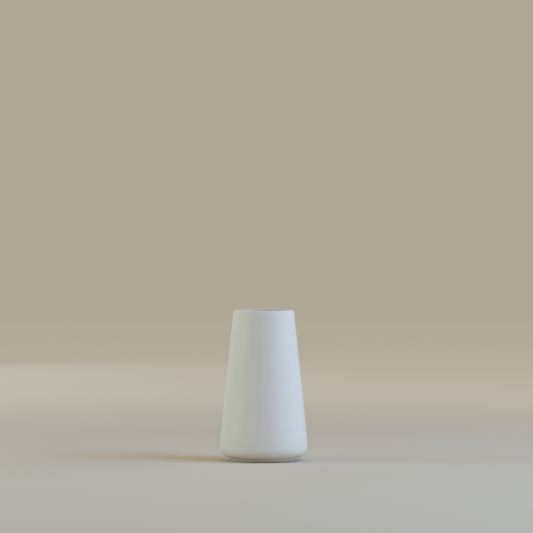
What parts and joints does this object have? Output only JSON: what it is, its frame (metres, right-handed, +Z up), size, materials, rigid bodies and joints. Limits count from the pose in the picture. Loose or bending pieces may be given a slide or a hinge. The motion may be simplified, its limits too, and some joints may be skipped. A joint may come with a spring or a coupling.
{
  "type": "bud vase",
  "caption": "Tapered ceramic bud vase with a tightly rounded heel, a small bare foot ring and an open mouth for short stems.",
  "frame": {"origin": "on the table, at the centre of the foot ring's bottom face, which is on the vase's axis", "axes": "+Z up along the vase's axis towards the mouth; the vase is a solid of revolution, so +X and +Y are any two level directions"},
  "size_m": [0.081, 0.081, 0.14],
  "materials": {
    "bare_clay": "matte",
    "matt_white_glaze": "matte",
    "satin_liner_glaze": "satin",
    "base_glaze": "satin"
  },
  "bodies": {
    "root": {"clay_body": "bare_clay", "outer_glaze": "matt_white_glaze", "liner_glaze": "satin_liner_glaze", "base_glaze": "base_glaze"}
  },
  "joints": []
}
